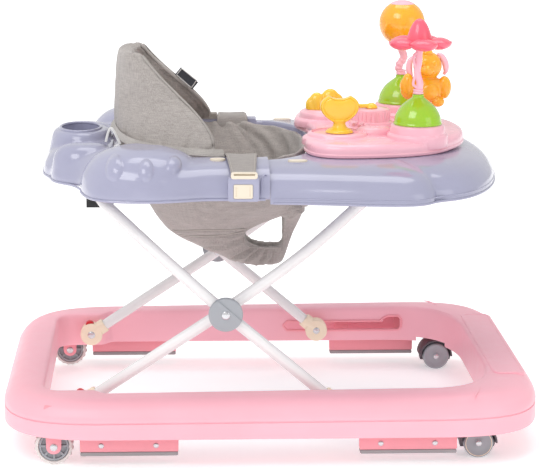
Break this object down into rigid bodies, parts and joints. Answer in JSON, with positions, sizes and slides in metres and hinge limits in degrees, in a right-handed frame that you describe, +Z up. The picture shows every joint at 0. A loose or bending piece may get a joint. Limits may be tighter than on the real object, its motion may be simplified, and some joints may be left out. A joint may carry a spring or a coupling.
{
  "type": "baby walker",
  "caption": "Folding baby walker with a moulded base ring, crossed tube frame, padded fabric seat, rear cup tray and a front panel of spinning toys.",
  "frame": {"origin": "on the floor under the middle of the base ring", "axes": "+X forward, the way the child faces; +Y to the child's left; +Z up"},
  "size_m": [0.7, 0.54, 0.559],
  "materials": {
    "pink_shell": "satin moulded",
    "deep_pink": "satin moulded",
    "cream": "satin moulded",
    "red": "satin moulded",
    "white_tube": "gloss powder coat",
    "grey": "satin moulded",
    "dark_grey": "matte moulded",
    "black": "matte moulded",
    "steel": "bright plated",
    "rubber": "matte",
    "tread": "matte",
    "lavender_tray": "gloss moulded",
    "seat_fabric": "linen weave, padded",
    "light_pink": "gloss moulded",
    "yellow": "gloss moulded",
    "green": "gloss moulded",
    "coral": "gloss moulded",
    "amber": "gloss translucent"
  },
  "bodies": {
    "base": {"base_ring": "pink_shell", "skid_holder_rear_R": "deep_pink", "skid_holder_rear_L": "deep_pink", "skid_holder_front_R": "deep_pink", "skid_holder_front_L": "deep_pink", "skid_pad_rear_R": "rubber", "skid_pad_rear_L": "rubber", "skid_pad_front_R": "rubber", "skid_pad_front_L": "rubber", "wheel_fork_R": "deep_pink", "wheel_fork_L": "deep_pink", "wheel_axle_R": "steel", "wheel_axle_L": "steel", "foot_pin_R": "steel", "foot_pin_L": "steel"},
    "rear_wheel_R": {"wheel_tyre_R": "tread", "wheel_hub_R": "grey"},
    "rear_wheel_L": {"wheel_tyre_L": "tread", "wheel_hub_L": "grey"},
    "caster_R": {"caster_hood_R": "dark_grey"},
    "caster_L": {"caster_hood_L": "dark_grey"},
    "caster_wheels_R": {"caster_disc_outer_R": "grey", "caster_disc_inner_R": "grey", "caster_axle_R": "steel"},
    "caster_wheels_L": {"caster_disc_outer_L": "grey", "caster_disc_inner_L": "grey", "caster_axle_L": "steel"},
    "inner_scissor": {"inner_frame": "white_tube", "inner_foot_R": "cream", "inner_foot_L": "cream", "hub_rivet_R": "steel", "hub_rivet_L": "steel"},
    "outer_scissor": {"outer_frame": "white_tube", "outer_foot_R": "cream", "outer_foot_L": "cream", "hub_cap_R": "grey", "hub_cap_L": "grey"},
    "lock_R": {"lock_button_R": "red"},
    "lock_L": {"lock_button_L": "red"},
    "tray": {"rear_tray": "lavender_tray", "front_tray": "lavender_tray", "pivot_bracket_R": "black", "pivot_bracket_L": "black", "guide_plate_R": "black", "guide_plate_L": "black", "seat_back": "seat_fabric", "seat_pouch": "seat_fabric", "toy_panel": "light_pink", "dome_R": "green", "dome_L": "green", "stem_R": "light_pink", "stem_L": "light_pink"},
    "buckle_R": {"buckle_button_R": "cream"},
    "buckle_L": {"buckle_button_L": "cream"},
    "tulip": {"tulip_knob": "yellow"},
    "shell": {"shell_knob": "yellow"},
    "pointer": {"pointer_lever": "yellow"},
    "flower": {"flower_spinner": "coral"},
    "ball": {"ball_spinner": "amber"},
    "bear": {"bear_spinner": "amber"}
  },
  "joints": [
    {"name": "rear_wheel_spin_R", "type": "hinge", "parent": "base", "child": "rear_wheel_R", "pos_m": [-0.281, -0.237, 0.025], "axis": [0, 1, 0], "continuous": true},
    {"name": "rear_wheel_spin_L", "type": "hinge", "parent": "base", "child": "rear_wheel_L", "pos_m": [-0.281, 0.237, 0.025], "axis": [0, 1, 0], "continuous": true},
    {"name": "caster_swivel_R", "type": "hinge", "parent": "base", "child": "caster_R", "pos_m": [0.276, -0.2125, 0.06], "axis": [0, 0, 1], "continuous": true},
    {"name": "caster_swivel_L", "type": "hinge", "parent": "base", "child": "caster_L", "pos_m": [0.276, 0.2125, 0.06], "axis": [0, 0, 1], "continuous": true},
    {"name": "caster_spin_R", "type": "hinge", "parent": "caster_R", "child": "caster_wheels_R", "pos_m": [0.264, -0.2125, 0.0195], "axis": [0, 1, 0], "continuous": true},
    {"name": "caster_spin_L", "type": "hinge", "parent": "caster_L", "child": "caster_wheels_L", "pos_m": [0.264, 0.2125, 0.0195], "axis": [0, 1, 0], "continuous": true},
    {"name": "fold", "type": "hinge", "parent": "base", "child": "inner_scissor", "pos_m": [-0.247, 0, 0.0625], "axis": [0, 1, 0], "range_deg": [-5, 25]},
    {"name": "scissor", "type": "hinge", "parent": "inner_scissor", "child": "outer_scissor", "pos_m": [-0.062, 0, 0.186], "axis": [0, 1, 0], "range_deg": [-56, 12]},
    {"name": "tray_tilt", "type": "hinge", "parent": "outer_scissor", "child": "tray", "pos_m": [-0.222, 0, 0.335], "axis": [0, 1, 0], "range_deg": [-7, 31]},
    {"name": "lock_press_R", "type": "slide", "parent": "inner_scissor", "child": "lock_R", "axis": [0, 0, -1], "range_m": [0, 0.003], "stiffness_N_per_m": 500, "springref_m": -0.002},
    {"name": "lock_press_L", "type": "slide", "parent": "inner_scissor", "child": "lock_L", "axis": [0, 0, -1], "range_m": [0, 0.003], "stiffness_N_per_m": 500, "springref_m": -0.002},
    {"name": "buckle_press_R", "type": "slide", "parent": "tray", "child": "buckle_R", "axis": [0, 1, 0], "range_m": [0, 0.003], "stiffness_N_per_m": 500, "springref_m": -0.002},
    {"name": "buckle_press_L", "type": "slide", "parent": "tray", "child": "buckle_L", "axis": [0, -1, 0], "range_m": [0, 0.003], "stiffness_N_per_m": 500, "springref_m": -0.002},
    {"name": "tulip_turn", "type": "hinge", "parent": "tray", "child": "tulip", "pos_m": [0.0905, -0.085, 0.4025], "axis": [0, 0, 1], "range_deg": [-60, 60]},
    {"name": "shell_turn", "type": "hinge", "parent": "tray", "child": "shell", "pos_m": [0.085, 0.078, 0.4105], "axis": [0, 0, 1], "range_deg": [-60, 60]},
    {"name": "pointer_turn", "type": "hinge", "parent": "tray", "child": "pointer", "pos_m": [0.141, 0, 0.422], "axis": [0, 0, 1], "range_deg": [-70, 70]},
    {"name": "flower_spin", "type": "hinge", "parent": "tray", "child": "flower", "pos_m": [0.192, -0.099, 0.527], "axis": [0, 0, 1], "continuous": true},
    {"name": "ball_spin", "type": "hinge", "parent": "tray", "child": "ball", "pos_m": [0.192, 0.099, 0.528], "axis": [0, 0, 1], "continuous": true},
    {"name": "bear_spin", "type": "hinge", "parent": "tray", "child": "bear", "pos_m": [0.216, 0.014, 0.428], "axis": [0, 0, 1], "continuous": true}
  ],
  "couplings": [
    {"joint": "scissor", "follows": "fold", "ratio": -2.21},
    {"joint": "tray_tilt", "follows": "fold", "ratio": 1.21}
  ]
}
